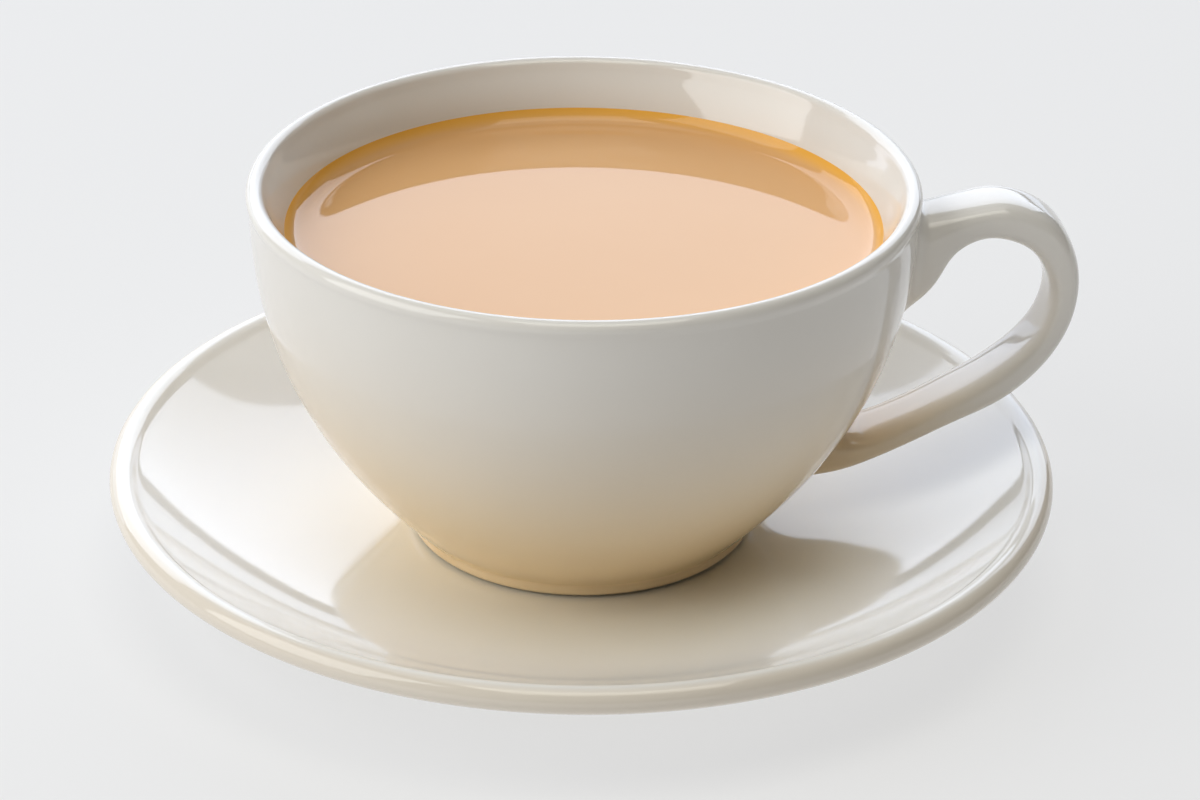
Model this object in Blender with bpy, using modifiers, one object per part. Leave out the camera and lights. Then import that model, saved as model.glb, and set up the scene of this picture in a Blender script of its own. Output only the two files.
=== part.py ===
"""Cup of tea with milk, on its saucer.

A thick-walled glazed cup with a looped strap handle stands on a round saucer and is filled
with milky tea to a few millimetres under its lip. Metres, +Z up. The origin is the middle of
the whole, seen from above, on the plane that it stands on, and the handle points along +X.
"""
import math

import bmesh
import bpy
import numpy as np

MM = 0.001
GAP = 0.3                    # between pieces that rest on or in each other
AXIS_X = -1.5                # place of the cup's axis: the handle reaches 3 mm past the saucer

# Driving sizes in millimetres. Heights of the cup are measured from its own foot.
CUP_RADIUS = 50.6            # outer wall just under the lip
CUP_HEIGHT = 57.5
LIP_RADIUS = 1.4             # half the thickness of the rounded lip
LIP_PROUD = 0.4              # how far the lip stands out from the wall
LIP_DROP = 2.2               # from the middle of the lip down to where the plain wall begins
LIP_ARC = (145, -40)         # degrees, from where the inside meets the lip to where the wall does
SIDE_FULLNESS = 2.35         # exponent of the bowl's curve: higher is rounder low down
FOOT_RADIUS = 26.9
FOOT_HEIGHT = 2.0
FOOT_RING_WIDTH = 3.6
EDGE = 0.6                   # rounding of the foot rings that the cup and the saucer stand on
BLEND = 0.4                  # how far a bowl's curve starts above its foot or floor
INNER_RADIUS = 45.0          # inside of the wall, before it flares to the lip
INNER_FLOOR_RADIUS = 24.0
FLAT_FLOOR_RADIUS = 20.0     # the floor bends up from here to the side
INNER_FLOOR_HEIGHT = 6.5
INNER_FULLNESS = 2.6
FLARE_START = 47.0           # height at which the inside begins to flare
TEA_HEIGHT = 47.7            # level of the tea in the middle
TEA_CLIMB = 2.6              # how far its edge climbs the wall
TEA_CLIMB_REACH = 2.4        # distance from the wall in which the climb falls to a third
TEA_EDGE_POINTS = (9.0, 6.0, 3.8, 2.2, 1.0)    # distances from the wall

SAUCER_RADIUS = 73.5
SAUCER_WELL_RADIUS = 29.0    # flat middle that the cup stands on
SAUCER_WELL_HEIGHT = 7.0
SAUCER_RISE = 11.85          # from the well to the top of the lip
SAUCER_LIP_RADIUS = 2.1
SAUCER_LIP_ARC = (150, -100)
SAUCER_LIP_PROUD = 0.35      # how far the lip stands up from the surface inside it
SAUCER_DISHING = 2.7         # exponent of the rise from the well to the lip
SAUCER_THICKNESS = 4.4
SAUCER_FOOT_RADIUS = 41.0
SAUCER_FOOT_WIDTH = 4.0
SAUCER_FOOT_HEIGHT = 2.4

CUP_FOOT_Z = SAUCER_WELL_HEIGHT + GAP

# The strap handle, as pairs of points (distance from the axis, height) on its outer and its
# inner edge, from its upper root to its lower root. Both ends lie inside the wall.
HANDLE_EDGES = (
    ((48.5, 51.0), (46.0, 33.0)),
    ((52.0, 51.2), (53.0, 38.3)),
    ((57.0, 52.2), (56.5, 44.8)),
    ((64.8, 53.2), (61.8, 47.3)),
    ((72.2, 49.8), (68.4, 45.0)),
    ((76.1, 42.5), (71.7, 39.0)),
    ((75.9, 34.1), (71.0, 33.0)),
    ((72.2, 26.3), (67.8, 28.3)),
    ((65.8, 20.0), (62.4, 23.9)),
    ((57.3, 15.8), (56.2, 20.2)),
    ((48.3, 11.4), (49.3, 16.5)),
    ((39.8, 8.1), (43.2, 14.5)),
    ((31.5, 7.0), (37.0, 16.0)),
)
HANDLE_HALF_WIDTH = 5.6      # across the strap, at its middle
HANDLE_ROOT_SPREAD = 1.2     # extra half width where it meets the wall
HANDLE_ROUNDNESS = 2.6       # exponent of the section: 2 is an ellipse, higher is squarer

# How finely the curves are cut
TURN_STEPS = 60
SIDE_CROWDING = 1.4          # exponent that puts more points low on the bowl, where it curves most
SAUCER_TURN_STEPS = 64
SIDE_STEPS = 11
LIP_STEPS = 8
SAUCER_TOP_STEPS = 9
SAUCER_UNDER_STEPS = 6
HANDLE_STEPS = 30
HANDLE_SIDES = 14


def clear_scene():
    for obj in list(bpy.data.objects):
        bpy.data.objects.remove(obj, do_unlink=True)


def new_collection(name):
    collection = bpy.data.collections.new(name)
    bpy.context.scene.collection.children.link(collection)
    return collection


def glossy_material(name, colour, roughness):
    material = bpy.data.materials.new(name)
    material.use_nodes = True
    shader = material.node_tree.nodes["Principled BSDF"]
    shader.inputs["Base Color"].default_value = (*colour, 1.0)
    shader.inputs["Roughness"].default_value = roughness
    shader.inputs["Metallic"].default_value = 0.0
    return material


def new_axis(collection):
    """An empty that carries every piece, and stands where the axis of the cup does."""
    axis = bpy.data.objects.new("axis", None)
    axis.location.x = AXIS_X * MM
    collection.objects.link(axis)
    return axis


def add_object(name, mesh, collection, material, axis):
    mesh.materials.append(material)
    obj = bpy.data.objects.new(name, mesh)
    obj.parent = axis
    collection.objects.link(obj)
    return obj


def arc(centre, radius, start_deg, end_deg, steps):
    """Points (radius, height) of a round stretch of a profile."""
    angles = np.radians(np.linspace(start_deg, end_deg, steps))
    return [(centre[0] + radius * math.cos(a), centre[1] + radius * math.sin(a)) for a in angles]


def outer_radius(height):
    """Outside of the bowl: it leaves the foot steeply flared and rises to a nearly upright wall."""
    top = CUP_HEIGHT - LIP_RADIUS
    up = (height - FOOT_HEIGHT) / (top - FOOT_HEIGHT)
    return FOOT_RADIUS + (CUP_RADIUS - FOOT_RADIUS) * (1 - (1 - up) ** SIDE_FULLNESS)


def inner_radius(height):
    """Inside of the bowl, nearly parallel to the outside, with a short flare under the lip."""
    top = CUP_HEIGHT - LIP_RADIUS
    up = min((height - INNER_FLOOR_HEIGHT) / (top - INNER_FLOOR_HEIGHT), 1.0)
    bowl = 1 - (1 - up) ** INNER_FULLNESS
    lip_inside = CUP_RADIUS + LIP_PROUD - 2 * LIP_RADIUS
    flare = max(height - FLARE_START, 0.0) / (top - FLARE_START)
    straight = INNER_FLOOR_RADIUS + (INNER_RADIUS - INNER_FLOOR_RADIUS) * bowl
    return straight + (lip_inside - INNER_RADIUS) * flare ** 2


def side_heights(low, high, steps):
    """Heights between two levels, closer together low down."""
    return [low + (high - low) * (i / steps) ** SIDE_CROWDING for i in range(steps + 1)]


def foot_ring(outside, width):
    """The rounded ring that a piece stands on, from its outer side to its inner side."""
    inside = outside - width
    return [(outside, EDGE), (outside - EDGE, 0.0), (inside + EDGE, 0.0), (inside, EDGE)]


def cup_profile():
    """From the middle of the floor up the inside, over the lip, down the outside to the foot."""
    lip_centre = (CUP_RADIUS + LIP_PROUD - LIP_RADIUS, CUP_HEIGHT - LIP_RADIUS)
    inside = side_heights(INNER_FLOOR_HEIGHT + BLEND, lip_centre[1], SIDE_STEPS)
    outside = side_heights(FOOT_HEIGHT + BLEND, lip_centre[1] - LIP_DROP, SIDE_STEPS)
    recess = FOOT_RADIUS - FOOT_RING_WIDTH
    points = [(0.0, INNER_FLOOR_HEIGHT), (FLAT_FLOOR_RADIUS, INNER_FLOOR_HEIGHT)]
    points += [(inner_radius(z), z) for z in inside[:-1]]
    points += arc(lip_centre, LIP_RADIUS, *LIP_ARC, LIP_STEPS)
    points += [(outer_radius(z), z) for z in reversed(outside)]
    points += [(FOOT_RADIUS, FOOT_HEIGHT)]
    points += foot_ring(FOOT_RADIUS, FOOT_RING_WIDTH)
    points += [(recess, FOOT_HEIGHT - BLEND), (0.0, FOOT_HEIGHT - BLEND)]
    return points


def tea_profile():
    """The inside of the bowl up to the tea, a gap smaller all round, with an edge that climbs."""
    floor = INNER_FLOOR_HEIGHT + GAP
    edge_height = TEA_HEIGHT + TEA_CLIMB
    edge_radius = inner_radius(edge_height) - GAP
    heights = side_heights(floor + BLEND, edge_height, SIDE_STEPS - 1)
    points = [(0.0, TEA_HEIGHT)]
    for inward in TEA_EDGE_POINTS:
        climb = TEA_CLIMB * math.exp(-inward / TEA_CLIMB_REACH)
        points.append((edge_radius - inward, TEA_HEIGHT + climb))
    points += [(inner_radius(z) - GAP, z) for z in reversed(heights)]
    points += [(FLAT_FLOOR_RADIUS - GAP, floor), (0.0, floor)]
    return points


def saucer_top(radius):
    """Upper surface: a flat well, then a rise that steepens towards the lip."""
    lip_inside = SAUCER_RADIUS - 2 * SAUCER_LIP_RADIUS
    out = max(radius - SAUCER_WELL_RADIUS, 0.0) / (lip_inside - SAUCER_WELL_RADIUS)
    rise = SAUCER_RISE - SAUCER_LIP_RADIUS / 2 - SAUCER_LIP_PROUD
    return SAUCER_WELL_HEIGHT + rise * out ** SAUCER_DISHING


def saucer_profile():
    """From the middle of the well out to the lip, back under it and down to the foot ring."""
    lip_height = SAUCER_WELL_HEIGHT + SAUCER_RISE - SAUCER_LIP_RADIUS
    lip_centre = (SAUCER_RADIUS - SAUCER_LIP_RADIUS, lip_height)
    lip_inside = SAUCER_RADIUS - 2 * SAUCER_LIP_RADIUS
    recess = SAUCER_FOOT_RADIUS - SAUCER_FOOT_WIDTH
    points = [(0.0, SAUCER_WELL_HEIGHT)]
    for radius in np.linspace(SAUCER_WELL_RADIUS, lip_inside, SAUCER_TOP_STEPS + 1):
        points.append((radius, saucer_top(radius)))
    points += arc(lip_centre, SAUCER_LIP_RADIUS, *SAUCER_LIP_ARC, LIP_STEPS)
    for radius in np.linspace(lip_inside - 1.0, SAUCER_FOOT_RADIUS + 1.0, SAUCER_UNDER_STEPS + 1):
        points.append((radius, saucer_top(radius) - SAUCER_THICKNESS))
    points += foot_ring(SAUCER_FOOT_RADIUS, SAUCER_FOOT_WIDTH)
    points += [(recess, SAUCER_FOOT_HEIGHT), (0.0, SAUCER_FOOT_HEIGHT)]
    return points


def turned(name, profile, base_z, steps, collection, material, axis):
    """A profile (radius, height) turned once round the cup's axis into a closed solid."""
    mesh = bpy.data.meshes.new(name)
    points = [(r * MM, 0.0, (z + base_z) * MM) for r, z in profile]
    mesh.from_pydata(points, [(i, i + 1) for i in range(len(points) - 1)], [])
    obj = add_object(name, mesh, collection, material, axis)
    screw = obj.modifiers.new("Turn", "SCREW")
    screw.axis = "Z"
    screw.angle = math.tau
    screw.steps = steps
    screw.render_steps = steps
    screw.use_merge_vertices = True
    screw.merge_threshold = 0.00001
    screw.use_smooth_shade = True
    return obj


def smooth_path(points, steps):
    """A Catmull-Rom curve through the points, as an array with equal steps from point to point."""
    knots = np.vstack([2 * points[0] - points[1], points, 2 * points[-1] - points[-2]])
    place = np.linspace(0, len(points) - 1, steps)
    first = np.minimum(place.astype(int), len(points) - 2)
    t = (place - first)[:, None]
    p0, p1, p2, p3 = (knots[first + i] for i in range(4))
    return 0.5 * (2 * p1 + (p2 - p0) * t + (2 * p0 - 5 * p1 + 4 * p2 - p3) * t ** 2
                  + (3 * p1 - p0 - 3 * p2 + p3) * t ** 3)


def handle_mesh():
    """A loft between unlike sections: tall at the roots, a flat rounded strap in between.

    Each section is a superellipse that reaches from the inner edge to the outer edge of the
    strap, and to both sides of it along Y.
    """
    edges = np.array(HANDLE_EDGES)
    outer = smooth_path(edges[:, 0], HANDLE_STEPS)
    inner = smooth_path(edges[:, 1], HANDLE_STEPS)
    along = np.linspace(-1, 1, HANDLE_STEPS)
    half_width = HANDLE_HALF_WIDTH + HANDLE_ROOT_SPREAD * along ** 6
    angle = np.linspace(0, math.tau, HANDLE_SIDES, endpoint=False)
    up = np.sign(np.cos(angle)) * np.abs(np.cos(angle)) ** (2 / HANDLE_ROUNDNESS)
    across = np.sign(np.sin(angle)) * np.abs(np.sin(angle)) ** (2 / HANDLE_ROUNDNESS)
    centre = (outer + inner) / 2
    half_height = (outer - inner) / 2
    x = centre[:, :1] + half_height[:, :1] * up
    y = half_width[:, None] * across
    z = centre[:, 1:] + half_height[:, 1:] * up + CUP_FOOT_Z
    points = np.stack([x, y, z], axis=-1).reshape(-1, 3) * MM

    faces = []
    for ring in range(HANDLE_STEPS - 1):
        for side in range(HANDLE_SIDES):
            here = ring * HANDLE_SIDES + side
            beside = ring * HANDLE_SIDES + (side + 1) % HANDLE_SIDES
            faces.append((here, beside, beside + HANDLE_SIDES, here + HANDLE_SIDES))
    last = (HANDLE_STEPS - 1) * HANDLE_SIDES
    faces.append(tuple(range(HANDLE_SIDES)))
    faces.append(tuple(range(last, last + HANDLE_SIDES)))
    mesh = bpy.data.meshes.new("handle")
    mesh.from_pydata(points.tolist(), [], faces)
    shape = bmesh.new()
    shape.from_mesh(mesh)
    bmesh.ops.recalc_face_normals(shape, faces=shape.faces)
    shape.to_mesh(mesh)
    shape.free()
    mesh.shade_smooth()
    return mesh


def add_handle(cup, tools, material):
    """The handle is fused to the cup, so that the two are one solid."""
    handle = add_object("handle_form", handle_mesh(), tools, material, cup.parent)
    handle.hide_render = True
    handle.display_type = "WIRE"
    union = cup.modifiers.new("Handle", "BOOLEAN")
    union.operation = "UNION"
    union.solver = "EXACT"
    union.object = handle


def build():
    clear_scene()
    parts = new_collection("cup_of_tea")
    tools = new_collection("forms")
    glaze = glossy_material("warm white glaze", (0.80, 0.76, 0.69), 0.12)
    milky_tea = glossy_material("milky tea", (0.75, 0.46, 0.30), 0.08)
    axis = new_axis(parts)
    turned("saucer", saucer_profile(), 0.0, SAUCER_TURN_STEPS, parts, glaze, axis)
    cup = turned("cup", cup_profile(), CUP_FOOT_Z, TURN_STEPS, parts, glaze, axis)
    add_handle(cup, tools, glaze)
    turned("tea", tea_profile(), CUP_FOOT_Z, TURN_STEPS, parts, milky_tea, axis)


build()
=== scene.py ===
"""Looks of a cup of tea with milk on its saucer.

Warm white glazed stoneware, thickly potted, with a strap handle fused to the bowl, and milky
tea that climbs the wall in a thin amber edge. Sizes are in millimetres and heights of the cup
are measured from its own foot, as in the model that this dresses.
"""

import math

import bpy
import numpy as np
from mathutils import Matrix, Vector


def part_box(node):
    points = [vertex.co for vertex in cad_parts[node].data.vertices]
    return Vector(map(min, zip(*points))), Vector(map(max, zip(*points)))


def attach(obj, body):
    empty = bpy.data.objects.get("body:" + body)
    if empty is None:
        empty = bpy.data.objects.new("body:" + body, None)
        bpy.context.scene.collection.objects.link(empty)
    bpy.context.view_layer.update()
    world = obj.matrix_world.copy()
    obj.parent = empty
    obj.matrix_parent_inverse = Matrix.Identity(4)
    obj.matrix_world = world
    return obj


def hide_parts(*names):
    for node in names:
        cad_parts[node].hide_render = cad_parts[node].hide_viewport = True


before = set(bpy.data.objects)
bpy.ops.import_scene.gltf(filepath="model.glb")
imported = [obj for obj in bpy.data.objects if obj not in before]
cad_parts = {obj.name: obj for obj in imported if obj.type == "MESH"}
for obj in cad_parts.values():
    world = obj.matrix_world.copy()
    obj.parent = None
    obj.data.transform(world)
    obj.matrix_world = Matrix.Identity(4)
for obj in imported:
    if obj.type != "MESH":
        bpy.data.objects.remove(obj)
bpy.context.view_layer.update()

MM = 0.001
AXIS_X = -1.5                # place of the cup's axis: the handle reaches 3 mm past the saucer

# The cup
CUP_RADIUS = 50.6            # outer wall just under the lip
CUP_HEIGHT = 57.5
LIP_RADIUS = 1.4
LIP_PROUD = 0.4              # how far the lip stands out from the wall
LIP_DROP = 2.2               # from the middle of the lip down to where the plain wall begins
LIP_INNER_DROP = 0.6         # the same on the inside
LIP_ARC = (145, -40)         # degrees, from the inside over the top to the outside
SIDE_FULLNESS = 2.35         # the higher, the fuller low down and the steeper above
FOOT_RADIUS = 26.9
FOOT_HEIGHT = 2.0
FOOT_RING_WIDTH = 3.6
EDGE = 0.6                   # rounding of the foot rings
BLEND = 0.4                  # how far a bowl's curve starts above its foot or floor
INNER_RADIUS = 45.0
INNER_FLOOR_RADIUS = 24.0
FLAT_FLOOR_RADIUS = 20.0
INNER_FLOOR_HEIGHT = 6.5
INNER_FULLNESS = 2.6
FLARE_START = 47.0

# The tea
TEA_HEIGHT = 47.7
MENISCUS_RISE = 2.6          # how far the surface climbs the wall
MENISCUS_REACH = 1.2         # distance from the wall in which the climb falls to a third
WALL_BITE = 0.25             # how far the tea reaches into the wall, so that no gap shows
BITE_START = 0.1             # how far below its edge it starts to
RIM_WIDTH = 1.6              # of the thin tea along the wall

# The saucer
SAUCER_RADIUS = 73.5
SAUCER_WELL_RADIUS = 29.0
SAUCER_WELL_HEIGHT = 7.0
SAUCER_RISE = 11.85
SAUCER_LIP_RADIUS = 2.1
SAUCER_LIP_ARC = (150, -100)  # degrees, from the inside over the edge to the underside
SAUCER_LIP_PROUD = 0.35
SAUCER_DISHING = 2.7
SAUCER_THICKNESS = 4.4
SAUCER_FOOT_RADIUS = 41.0
SAUCER_FOOT_WIDTH = 4.0
SAUCER_FOOT_HEIGHT = 2.4
SAUCER_MARGIN = 1.0          # kept clear at both ends of its underside, for the corners

CUP_FOOT_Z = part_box("cup")[0][2] / MM

# The handle: pairs of points (distance from the axis, height) on its outer and inner edge
HANDLE_EDGES = (
    ((48.5, 51.0), (46.0, 33.0)),
    ((52.0, 51.2), (53.0, 38.3)),
    ((57.0, 52.2), (56.5, 44.8)),
    ((64.8, 53.2), (61.8, 47.3)),
    ((72.2, 49.8), (68.4, 45.0)),
    ((76.1, 42.5), (71.7, 39.0)),
    ((75.9, 34.1), (71.0, 33.0)),
    ((72.2, 26.3), (67.8, 28.3)),
    ((65.8, 20.0), (62.4, 23.9)),
    ((57.3, 15.8), (56.2, 20.2)),
    ((48.3, 11.4), (49.3, 16.5)),
    ((39.8, 8.1), (43.2, 14.5)),
    ((31.5, 7.0), (37.0, 16.0)),
)
HANDLE_HALF_WIDTH = 5.6
HANDLE_ROOT_SPREAD = 1.2     # how much wider each half is at the very ends
HANDLE_SPREAD_POWER = 6      # the higher, the nearer to the ends it widens
HANDLE_BLUR = 3.5            # steps along the strap over which its edges are evened out
HANDLE_ROUNDNESS = 3.2       # 2 is an ellipse, and more is closer to a rectangle
HANDLE_FILLET = 2.2          # radius of the slip that fills the corner between strap and wall

# The glaze and the clay
GLAZE_IOR = 1.52
GLAZE_ROUGHNESS = 0.07
GLAZE_CLOUD = 22.0           # size of the faint clouds in its white
GLAZE_WAVE = 7.0             # size of the waves that it froze in
GLAZE_WAVE_HEIGHT = 0.25
GLAZE_WAVE_STRENGTH = 0.06
EDGE_SHADE_TINT = "#E6DCCD"       # painted shade: a tan tint on an outer edge
BARE_CLAY = "#CDB898"
BARE_ROUGHNESS = 0.85
BARE_HEIGHT = 0.35           # of the part of the foot ring that has no glaze

# The colours of the tea
TEA_IOR = 1.34
TEA_ROUGHNESS = 0.03
TEA_CLOUD = 30.0
TEA_TANS = ("#DEAD76", "#DBA66B")
TEA_AMBER = "#EDB14E"        # where it is thin, along the wall

# The floor
FLOOR_GREY = "#8A8A8A"
FLOOR_ROUGHNESS = 0.9
FLOOR_GLOW = 0.58            # where 1 is paper white
FLOOR_HALF = 3.0             # metres from its middle to an edge

# How finely the surfaces are cut
TURN_STEPS = 256
CUP_POINTS = 230
SAUCER_POINTS = 200
WALL_SAMPLES = 90            # on each side of the cup's wall
SAUCER_TOP_SAMPLES = 80
SIDE_SAMPLES = 60            # on the saucer's underside, and on the side of the tea
HANDLE_STEPS = 220
HANDLE_SIDES = 64
SOFTENING = 0.35             # millimetres over which the melted glaze rounds every corner
FINE_STEP = 0.1              # of the line that is softened
STRAIGHT_STEP = 2.0          # length of straight line that gets as many points
BEND_STEP = 5                # as a bend of this many degrees
BELL_REACH = 5               # how far a bell curve is followed, in its own widths

# The camera, as it stood for the photograph
LENS = 108.0
SENSOR = 36.0
CAMERA_DISTANCE = 569.0      # to the middle of the cup's foot
CAMERA_ELEVATION = 28.784
CAMERA_AZIMUTH = 5.0         # degrees that the camera stands round from the -Y side, towards -X
CAMERA_PAN = 0.315           # degrees that it looks to the right of the cup's axis
CAMERA_TILT = -1.79          # degrees that it looks below the cup's foot, so here above it
CAMERA_ROLL = 0.708          # degrees that its right side is lifted

# The lights: azimuth and elevation in degrees, distance, width and height in metres, then
# brightness and colour. Azimuth 0 is behind the cup, towards +Y, and 90 is on its right.
LIGHT_AIM = 50.0             # height that they face
LIGHTS = (
    ("back window", -5, 29.5, 1.5, 2.7, 0.9, 3.15, "#E6EFFF"),
    ("wall under the window", -5, 4.0, 1.5, 2.7, 0.26, 1.8, "#E6EFFF"),
    ("left window", -106, 30, 1.2, 1.0, 1.1, 3.1, "#F8FAFB"),
    ("front box", 173, 73, 1.2, 0.8, 0.6, 2.7, "#FBF9EE"),
    ("top box", -5, 88, 1.2, 0.8, 0.8, 1.0, "#FFFFFF"),
    ("right box", 75, 40, 1.3, 1.1, 1.0, 0.25, "#FFFFFF"),
)


def linear(hex_colour):
    """An sRGB hex colour as linear red, green, blue and full alpha."""
    parts = [int(hex_colour[i:i + 2], 16) / 255 for i in (1, 3, 5)]
    return (*[c / 12.92 if c <= 0.04045 else ((c + 0.055) / 1.055) ** 2.4 for c in parts], 1.0)


def add_node(tree, kind, settings=None, **links):
    """Adds a node. Settings are its properties, or its sockets by number or by capital name.

    Links feed sockets, by name or by number after an i.
    """
    node = tree.nodes.new(kind)
    for key, value in (settings or {}).items():
        if isinstance(key, int) or key[0].isupper():
            node.inputs[key].default_value = value
        else:
            setattr(node, key, value)
    for key, source in links.items():
        socket = node.inputs[int(key[1:]) if key[0] == "i" else key]
        tree.links.new(source, socket)
    return node


def arc(centre, radius, start_deg, end_deg, steps=40):
    """Points on a circle about the centre: centre + radius * (cosine, sine) of an even sweep."""
    angles = np.radians(np.linspace(start_deg, end_deg, steps))
    return np.stack([centre[0] + radius * np.cos(angles), centre[1] + radius * np.sin(angles)], 1)


def outer_radius(height):
    """Outside of the bowl: foot radius plus the widening times 1 - (1 - up) ** fullness."""
    top = CUP_HEIGHT - LIP_RADIUS
    up = np.clip((height - FOOT_HEIGHT) / (top - FOOT_HEIGHT), 0.0, 1.0)
    return FOOT_RADIUS + (CUP_RADIUS - FOOT_RADIUS) * (1 - (1 - up) ** SIDE_FULLNESS)


def outer_slope(height):
    """How fast the outside of the bowl widens with height."""
    step = 0.05
    return (outer_radius(height + step) - outer_radius(height - step)) / (2 * step)


def inner_radius(height):
    """Inside of the bowl, by the same kind of curve, plus a flare that grows as a square."""
    top = CUP_HEIGHT - LIP_RADIUS
    up = np.clip((height - INNER_FLOOR_HEIGHT) / (top - INNER_FLOOR_HEIGHT), 0.0, 1.0)
    bowl = 1 - (1 - up) ** INNER_FULLNESS
    lip_inside = CUP_RADIUS + LIP_PROUD - 2 * LIP_RADIUS
    flare = np.maximum(height - FLARE_START, 0.0) / (top - FLARE_START)
    straight = INNER_FLOOR_RADIUS + (INNER_RADIUS - INNER_FLOOR_RADIUS) * bowl
    return straight + (lip_inside - INNER_RADIUS) * flare ** 2


def saucer_top(radius):
    """Upper surface of the saucer: flat in the well, then rising as a power of the distance."""
    lip_inside = SAUCER_RADIUS - 2 * SAUCER_LIP_RADIUS
    out = np.maximum(radius - SAUCER_WELL_RADIUS, 0.0) / (lip_inside - SAUCER_WELL_RADIUS)
    rise = SAUCER_RISE - SAUCER_LIP_RADIUS / 2 - SAUCER_LIP_PROUD
    return SAUCER_WELL_HEIGHT + rise * out ** SAUCER_DISHING


def foot_ring(outside, width):
    """The rounded ring that a piece stands on, from its outer side to its inner side."""
    inside = outside - width
    return np.array([(outside, EDGE), (outside - EDGE, 0.0), (inside + EDGE, 0.0), (inside, EDGE)])


def along(values, function, flipped=False):
    """Profile points (function(value), value), or (value, function(value)) where flipped."""
    pair = (values, function(values)) if flipped else (function(values), values)
    return np.stack(pair, 1)


def blurred(line, width):
    """A line averaged with a bell curve that many points wide.

    The line goes on past each end as its own mirror image through that end, so that the ends
    stay in place.
    """
    reach = math.ceil(BELL_REACH * width)
    steps = np.arange(-reach, reach + 1)
    bell = np.exp(-0.5 * (steps / width) ** 2)
    bell /= bell.sum()
    before = 2 * line[0] - line[reach:0:-1]
    after = 2 * line[-1] - line[-2:-reach - 2:-1]
    padded = np.vstack([before, line, after])
    return np.stack([np.convolve(padded[:, i], bell, "valid") for i in (0, 1)], 1)


def softened(profile, count):
    """A profile with its corners rounded and its points where it bends.

    The line is sampled every FINE_STEP and averaged with a bell curve of SOFTENING width, as
    glaze rounds a corner. It is then sampled again evenly in the sum of its length and its
    turning, so that bends get more points. Its ends on the axis stay where they are.
    """
    step = np.hypot(*np.diff(profile, axis=0).T)
    place = np.concatenate([[0], np.cumsum(step)])
    fine = np.linspace(0, place[-1], int(place[-1] / FINE_STEP))
    line = np.stack([np.interp(fine, place, profile[:, i]) for i in (0, 1)], 1)
    line = blurred(line, SOFTENING / FINE_STEP)
    heading = np.unwrap(np.arctan2(*np.gradient(line, axis=0).T[::-1]))
    turning = np.abs(np.gradient(heading)) / math.radians(BEND_STEP)
    weight = FINE_STEP / STRAIGHT_STEP + turning
    total = np.concatenate([[0], np.cumsum(weight[1:])])
    pick = np.interp(np.linspace(0, total[-1], count), total, np.arange(len(line)))
    points = np.stack([np.interp(pick, np.arange(len(line)), line[:, i]) for i in (0, 1)], 1)
    points[[0, -1], 0] = 0.0
    return points


def new_piece(name, points, faces, material, node):
    """A smooth-shaded piece from points about the cup's axis. It stands for a node."""
    mesh = bpy.data.meshes.new(name)
    mesh.from_pydata((points + (AXIS_X, 0, 0)) * MM, [], faces)
    mesh.materials.append(material)
    mesh.polygons.foreach_set("use_smooth", np.ones(len(mesh.polygons), dtype=bool))
    piece = bpy.data.objects.new(name, mesh)
    bpy.context.scene.collection.objects.link(piece)
    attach(piece, "root")
    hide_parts(node)
    return piece


def ring_faces(rings, sides):
    """Quads between neighbouring rings of points, as an array of four indices each."""
    ring, side = np.meshgrid(np.arange(rings - 1), np.arange(sides), indexing="ij")
    here = (ring * sides + side).ravel()
    beside = (ring * sides + (side + 1) % sides).ravel()
    return np.stack([here, beside, beside + sides, here + sides], 1)


def turned(name, profile, base_z, material, node):
    """A profile from the cup's axis back to it, turned about it into a closed surface.

    Point (u, v) is (r(u) cos v, r(u) sin v, z(u)). The two points on the axis are single, and
    triangles close the surface round them.
    """
    angle = np.linspace(0, math.tau, TURN_STEPS, endpoint=False)
    radius, height = profile[1:-1, :1], profile[1:-1, 1:] + base_z
    rings = np.stack([radius * np.cos(angle), radius * np.sin(angle), height + 0 * angle], -1)
    count = len(profile) - 2
    ends = np.array([(0, 0, profile[0, 1] + base_z), (0, 0, profile[-1, 1] + base_z)])
    points = np.vstack([rings.reshape(-1, 3), ends])
    quads = ring_faces(count, TURN_STEPS)[:, ::-1]
    side = np.arange(TURN_STEPS)
    beside = (side + 1) % TURN_STEPS
    first, last = count * TURN_STEPS, count * TURN_STEPS + 1
    low = (count - 1) * TURN_STEPS
    caps = np.vstack([np.stack([side, beside, side * 0 + first], 1),
                      np.stack([low + beside, low + side, side * 0 + last], 1)])
    return new_piece(name, points, quads.tolist() + caps.tolist(), material, node)


def cup_profile():
    """From the middle of the floor up the inside, over the lip, down the outside to the foot."""
    lip_centre = (CUP_RADIUS + LIP_PROUD - LIP_RADIUS, CUP_HEIGHT - LIP_RADIUS)
    inside = np.linspace(INNER_FLOOR_HEIGHT + BLEND, lip_centre[1] - LIP_INNER_DROP, WALL_SAMPLES)
    outside = np.linspace(lip_centre[1] - LIP_DROP, FOOT_HEIGHT + BLEND, WALL_SAMPLES)
    recess = FOOT_RADIUS - FOOT_RING_WIDTH
    return np.vstack([
        [(0.0, INNER_FLOOR_HEIGHT), (FLAT_FLOOR_RADIUS, INNER_FLOOR_HEIGHT)],
        along(inside, inner_radius),
        arc(lip_centre, LIP_RADIUS, *LIP_ARC),
        along(outside, outer_radius),
        [(FOOT_RADIUS, FOOT_HEIGHT)],
        foot_ring(FOOT_RADIUS, FOOT_RING_WIDTH),
        [(recess, FOOT_HEIGHT - BLEND), (0.0, FOOT_HEIGHT - BLEND)],
    ])


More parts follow.
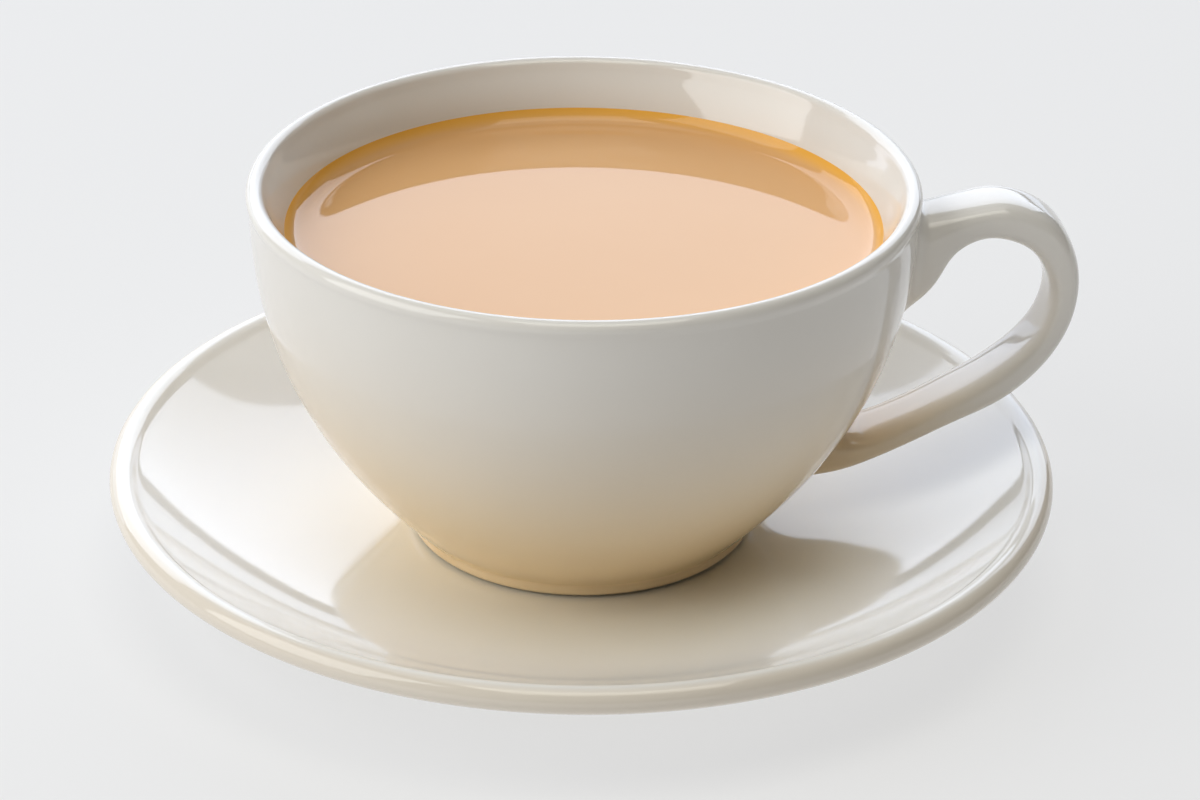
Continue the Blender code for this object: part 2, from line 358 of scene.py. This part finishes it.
def saucer_profile():
    """From the middle of the well out to the lip, back under it and down to the foot ring."""
    lip_height = SAUCER_WELL_HEIGHT + SAUCER_RISE - SAUCER_LIP_RADIUS
    lip_centre = (SAUCER_RADIUS - SAUCER_LIP_RADIUS, lip_height)
    lip_inside = SAUCER_RADIUS - 2 * SAUCER_LIP_RADIUS
    over = np.linspace(SAUCER_WELL_RADIUS, lip_inside, SAUCER_TOP_SAMPLES)
    under = np.linspace(lip_inside - SAUCER_MARGIN, SAUCER_FOOT_RADIUS + SAUCER_MARGIN, SIDE_SAMPLES)
    recess = SAUCER_FOOT_RADIUS - SAUCER_FOOT_WIDTH
    return np.vstack([
        [(0.0, SAUCER_WELL_HEIGHT)],
        along(over, saucer_top, flipped=True),
        arc(lip_centre, SAUCER_LIP_RADIUS, *SAUCER_LIP_ARC),
        along(under, lambda r: saucer_top(r) - SAUCER_THICKNESS, flipped=True),
        foot_ring(SAUCER_FOOT_RADIUS, SAUCER_FOOT_WIDTH),
        [(recess, SAUCER_FOOT_HEIGHT), (0.0, SAUCER_FOOT_HEIGHT)],
    ])


def tea_profile():
    """The tea's surface out to the wall, which it climbs, then down just inside the wall.

    The surface stands MENISCUS_RISE * exp(-d / MENISCUS_REACH) above its level, where d is the
    distance from the wall. It is cut evenly up to 9 mm from the wall, and from there on in
    steps that shrink towards the wall.
    """
    edge = inner_radius(TEA_HEIGHT + MENISCUS_RISE)
    middle = np.linspace(edge, 9.0, 24)
    near_wall = np.geomspace(8.5, 0.02, 90)
    inward = np.concatenate([middle, near_wall])
    climb = MENISCUS_RISE * np.exp(-inward / MENISCUS_REACH)
    surface = np.stack([edge - inward, TEA_HEIGHT + climb], 1)
    bite_from = TEA_HEIGHT + MENISCUS_RISE - BITE_START
    heights = np.linspace(bite_from, INNER_FLOOR_HEIGHT + BLEND, SIDE_SAMPLES)
    wall = np.stack([inner_radius(heights) + WALL_BITE, heights], 1)
    floor = INNER_FLOOR_HEIGHT - WALL_BITE
    return np.vstack([surface, wall, [(FLAT_FLOOR_RADIUS, floor), (0.0, floor)]])


def smooth_path(points, steps):
    """A Catmull-Rom curve through the points, with equal steps from point to point."""
    knots = np.vstack([2 * points[0] - points[1], points, 2 * points[-1] - points[-2]])
    place = np.linspace(0, len(points) - 1, steps)
    first = np.minimum(place.astype(int), len(points) - 2)
    t = (place - first)[:, None]
    p0, p1, p2, p3 = (knots[first + i] for i in range(4))
    return 0.5 * (2 * p1 + (p2 - p0) * t + (2 * p0 - 5 * p1 + 4 * p2 - p3) * t ** 2
                  + (3 * p1 - p0 - 3 * p2 + p3) * t ** 3)


def wall_distance(points):
    """Distance from the bowl's outside, and the wall's outward direction there."""
    radius = np.hypot(points[..., 0], points[..., 1])
    slope = outer_slope(points[..., 2])
    outward = np.stack([points[..., 0] / radius, points[..., 1] / radius, -slope], -1)
    scale = np.sqrt(1 + slope ** 2)
    return (radius - outer_radius(points[..., 2])) / scale, outward / scale[..., None]


def filleted(points):
    """Spreads the ends of the strap onto the wall in a round fillet.

    A point at distance g from the wall, less than the fillet's radius R, moves along the wall,
    away from the middle of the strap, by R - sqrt(R^2 - (R - g)^2). It then goes back to its
    own distance from the wall, which bends away beneath it.
    """
    distance, outward = wall_distance(points)
    centre = points.mean(axis=1, keepdims=True)
    spread = points - centre
    spread -= (spread * outward).sum(-1, keepdims=True) * outward
    spread /= np.linalg.norm(spread, axis=-1, keepdims=True)
    near = np.clip(1 - distance / HANDLE_FILLET, 0.0, 1.0)
    push = HANDLE_FILLET * (1 - np.sqrt(1 - near ** 2))
    moved = points + spread * push[..., None]
    now, outward = wall_distance(moved)
    settle = np.where(near > 0, distance - now, 0.0)
    return moved + outward * settle[..., None]


def signed_power(values, power):
    """Each value's size raised to a power, with its sign kept."""
    return np.sign(values) * np.abs(values) ** power


def handle_points():
    """Sections of the strap: superellipses between the two edges, widest at the roots.

    Point (u, v) is centre(u) + half_height(u) * up(v) + Y * half_width(u) * across(v), where up
    and across are the cosine and sine of v, each raised to 2 / roundness with its sign kept.
    """
    edges = np.array(HANDLE_EDGES)
    outer = blurred(smooth_path(edges[:, 0], HANDLE_STEPS), HANDLE_BLUR)
    inner = blurred(smooth_path(edges[:, 1], HANDLE_STEPS), HANDLE_BLUR)
    place = np.linspace(-1, 1, HANDLE_STEPS)
    half_width = HANDLE_HALF_WIDTH + HANDLE_ROOT_SPREAD * place ** HANDLE_SPREAD_POWER
    angle = np.linspace(0, math.tau, HANDLE_SIDES, endpoint=False)
    up = signed_power(np.cos(angle), 2 / HANDLE_ROUNDNESS)
    across = signed_power(np.sin(angle), 2 / HANDLE_ROUNDNESS)
    centre, half_height = (outer + inner) / 2, (outer - inner) / 2
    x = centre[:, :1] + half_height[:, :1] * up
    y = half_width[:, None] * across
    z = centre[:, 1:] + half_height[:, 1:] * up
    return filleted(np.stack([x, y, z], -1))


def make_handle(material):
    """The strap as one closed tube, whose two ends lie inside the wall of the bowl."""
    rings = handle_points()
    rings[..., 2] += CUP_FOOT_Z
    quads = ring_faces(HANDLE_STEPS, HANDLE_SIDES)
    first = np.arange(HANDLE_SIDES)
    last = first + (HANDLE_STEPS - 1) * HANDLE_SIDES
    faces = quads.tolist() + [first[::-1].tolist(), last.tolist()]
    return new_piece("handle", rings.reshape(-1, 3), faces, material, "cup")


def glaze_material(name, white, cream, foot_height, cream_from, cream_to,
                   edge_from=None, edge_to=None):
    """Glossy tin-white glaze on cream stoneware, fired in a kiln.

    The eye sees a white body under a clear, slightly wavy gloss. White is a pair of hex colours
    that the glaze clouds between. Round the foot a cream tint is painted warm shade: in full up
    to one distance from the middle of the foot, and no more beyond a second one. On the outer
    edge a tan tint is painted shade, from a third distance to a fourth. The ring that stood on
    the kiln shelf is bare, rough and biscuit-coloured.
    """
    material = bpy.data.materials.new(name)
    material.use_nodes = True
    tree = material.node_tree
    shader = tree.nodes["Principled BSDF"]
    shader.inputs["IOR"].default_value = GLAZE_IOR
    coords = add_node(tree, "ShaderNodeTexCoord").outputs["Object"]
    place = add_node(tree, "ShaderNodeSeparateXYZ", i0=coords)
    cloud = add_node(tree, "ShaderNodeTexNoise",
                     {"Scale": 1 / (GLAZE_CLOUD * MM), "Detail": 2.0}, Vector=coords)
    body = add_node(tree, "ShaderNodeMix",
                    {"data_type": "RGBA", 6: linear(white[0]), 7: linear(white[1])},
                    i0=cloud.outputs["Fac"])
    middle = (AXIS_X * MM, 0.0, foot_height * MM)
    distance = add_node(tree, "ShaderNodeVectorMath", {"operation": "DISTANCE", 1: middle}, i0=coords)
    layer = body.outputs[2]
    # Both tints are painted shade: warm cream round the foot, tan on the outer edge
    tints = ((cream_to, cream_from, cream), (edge_from, edge_to, EDGE_SHADE_TINT))
    for shade_from, shade_to, tint in tints:
        if shade_from is not None:
            thin = add_node(tree, "ShaderNodeMapRange",
                            {"interpolation_type": "SMOOTHSTEP", "From Min": shade_from * MM,
                             "From Max": shade_to * MM}, Value=distance.outputs["Value"])
            layer = add_node(tree, "ShaderNodeMix", {"data_type": "RGBA", 7: linear(tint)},
                             i0=thin.outputs["Result"], i6=layer).outputs[2]
    bare = add_node(tree, "ShaderNodeMath",
                    {"operation": "LESS_THAN", 1: (foot_height + BARE_HEIGHT) * MM},
                    i0=place.outputs["Z"])
    colour = add_node(tree, "ShaderNodeMix", {"data_type": "RGBA", 7: linear(BARE_CLAY)},
                      i0=bare.outputs[0], i6=layer)
    rough = add_node(tree, "ShaderNodeMix",
                     {"data_type": "FLOAT", 2: GLAZE_ROUGHNESS, 3: BARE_ROUGHNESS},
                     i0=bare.outputs[0])
    wave = add_node(tree, "ShaderNodeTexNoise",
                    {"Scale": 1 / (GLAZE_WAVE * MM), "Detail": 1.0}, Vector=coords)
    bump = add_node(tree, "ShaderNodeBump",
                    {"Strength": GLAZE_WAVE_STRENGTH, "Distance": GLAZE_WAVE_HEIGHT * MM},
                    Height=wave.outputs["Fac"])
    tree.links.new(colour.outputs[2], shader.inputs["Base Color"])
    tree.links.new(rough.outputs[0], shader.inputs["Roughness"])
    tree.links.new(bump.outputs["Normal"], shader.inputs["Normal"])
    return material


def tea_material():
    """Black tea with milk: a smooth wet surface over a clouded tan liquid.

    Where it thins out against the white wall it lets more light through, and reads as amber.
    """
    material = bpy.data.materials.new("milky tea")
    material.use_nodes = True
    tree = material.node_tree
    shader = tree.nodes["Principled BSDF"]
    shader.inputs["IOR"].default_value = TEA_IOR
    shader.inputs["Roughness"].default_value = TEA_ROUGHNESS
    coords = add_node(tree, "ShaderNodeTexCoord").outputs["Object"]
    from_axis = add_node(tree, "ShaderNodeVectorMath",
                         {"operation": "SUBTRACT", 1: (AXIS_X * MM, 0, 0)}, i0=coords)
    flat = add_node(tree, "ShaderNodeVectorMath", {"operation": "MULTIPLY", 1: (1, 1, 0)},
                    i0=from_axis.outputs[0])
    radius = add_node(tree, "ShaderNodeVectorMath", {"operation": "LENGTH"}, i0=flat.outputs[0])
    edge = inner_radius(TEA_HEIGHT + MENISCUS_RISE)
    rim = add_node(tree, "ShaderNodeMapRange",
                   {"interpolation_type": "SMOOTHSTEP", "From Min": (edge - RIM_WIDTH) * MM,
                    "From Max": edge * MM}, Value=radius.outputs["Value"])
    cloud = add_node(tree, "ShaderNodeTexNoise",
                     {"Scale": 1 / (TEA_CLOUD * MM), "Detail": 3.0}, Vector=coords)
    body = add_node(tree, "ShaderNodeMix",
                    {"data_type": "RGBA", 6: linear(TEA_TANS[0]), 7: linear(TEA_TANS[1])},
                    i0=cloud.outputs["Fac"])
    colour = add_node(tree, "ShaderNodeMix", {"data_type": "RGBA", 7: linear(TEA_AMBER)},
                      i0=rim.outputs["Result"], i6=body.outputs[2])
    tree.links.new(colour.outputs[2], shader.inputs["Base Color"])
    return material


def floor_material():
    """Pale light table, which glows evenly, so that it takes only faint shadows."""
    material = bpy.data.materials.new("light table")
    material.use_nodes = True
    shader = material.node_tree.nodes["Principled BSDF"]
    shader.inputs["Base Color"].default_value = linear(FLOOR_GREY)
    shader.inputs["Roughness"].default_value = FLOOR_ROUGHNESS
    shader.inputs["Specular IOR Level"].default_value = 0.0
    shader.inputs["Emission Color"].default_value = linear("#FFFFFF")
    shader.inputs["Emission Strength"].default_value = FLOOR_GLOW
    return material


def make_floor():
    """A wide flat sheet that the saucer stands on."""
    half = FLOOR_HALF
    mesh = bpy.data.meshes.new("floor")
    corners = [(-half, -half, 0), (half, -half, 0), (half, half, 0), (-half, half, 0)]
    mesh.from_pydata(corners, [], [(0, 1, 2, 3)])
    mesh.materials.append(floor_material())
    floor = bpy.data.objects.new("floor", mesh)
    bpy.context.scene.collection.objects.link(floor)


def make_camera():
    """The camera stands at a distance and an elevation from the foot of the cup, turned, tilted
    and rolled by a few degrees as the photograph's outlines ask."""
    up_angle = math.radians(CAMERA_ELEVATION)
    down = up_angle + math.radians(CAMERA_TILT)
    pan = math.radians(CAMERA_PAN)
    roll = math.radians(CAMERA_ROLL)
    foot = Vector((0, 0, CUP_FOOT_Z * MM))
    place = foot + CAMERA_DISTANCE * MM * Vector((0, -math.cos(up_angle), math.sin(up_angle)))
    forward = Vector((math.sin(pan) * math.cos(down), math.cos(pan) * math.cos(down), -math.sin(down)))
    right = forward.cross(Vector((0, 0, 1))).normalized()
    up = right.cross(forward)
    rolled_right = right * math.cos(roll) + up * math.sin(roll)
    rolled_up = up * math.cos(roll) - right * math.sin(roll)
    matrix = Matrix((rolled_right, rolled_up, -forward)).transposed().to_4x4()
    matrix.translation = place
    camera = bpy.data.cameras.new("camera")
    camera.sensor_width = SENSOR
    camera.lens = LENS
    camera.clip_start = 0.01
    body = bpy.data.objects.new("camera", camera)
    bpy.context.scene.collection.objects.link(body)
    turn = Matrix.Rotation(math.radians(-CAMERA_AZIMUTH), 4, "Z")
    body.matrix_world = Matrix.Translation((AXIS_X * MM, 0, 0)) @ turn @ matrix
    bpy.context.scene.camera = body


def softbox(name, azimuth, elevation, distance, width, height, brightness, colour):
    """A rectangular light that faces the cup. Brightness is its radiance, where 1 is paper white."""
    a = math.radians(azimuth)
    e = math.radians(elevation)
    target = Vector((AXIS_X * MM, 0, LIGHT_AIM * MM))
    towards = Vector((math.sin(a) * math.cos(e), math.cos(a) * math.cos(e), math.sin(e)))
    place = target + distance * towards
    light = bpy.data.lights.new(name, "AREA")
    light.shape = "RECTANGLE"
    light.size = width
    light.size_y = height
    light.energy = brightness * math.pi * width * height
    light.color = linear(colour)[:3]
    lamp = bpy.data.objects.new(name, light)
    bpy.context.scene.collection.objects.link(lamp)
    lamp.location = place
    lamp.rotation_euler = (target - place).to_track_quat("-Z", "Y").to_euler()


def make_lights():
    """A wide window behind the cup, which its glaze and the tea mirror, with the pale wall under
    it, a second window on the left, and weaker boxes high in front, overhead and on the right.
    The room is dark."""
    world = bpy.data.worlds.new("room")
    world.use_nodes = True
    world.node_tree.nodes["Background"].inputs["Strength"].default_value = 0.0
    bpy.context.scene.world = world
    for light in LIGHTS:
        softbox(*light)


make_camera()
make_floor()
make_lights()
bpy.context.scene.view_settings.view_transform = "Standard"

# The cream tint round the cup's foot is painted warm shade.
cup_glaze = glaze_material("white glaze", white=("#E8E4DD", "#E4DFD7"), cream="#F3D6A8",
                           foot_height=CUP_FOOT_Z, cream_from=28.0, cream_to=74.0)
# The cream tint in the saucer's well is painted warm shade.
saucer_glaze = glaze_material("white glaze of the saucer", white=("#F0EFEC", "#EEECE7"),
                              cream="#F1ECDC", foot_height=0.0, cream_from=27.0, cream_to=58.0,
                              # The edge tint is painted shade on the saucer's outer edge.
                              edge_from=73.6, edge_to=75.0)
turned("bowl", softened(cup_profile(), CUP_POINTS), CUP_FOOT_Z, cup_glaze, "cup")
make_handle(cup_glaze)
turned("saucer", softened(saucer_profile(), SAUCER_POINTS), 0.0, saucer_glaze, "saucer")
turned("tea", tea_profile(), CUP_FOOT_Z, tea_material(), "tea")
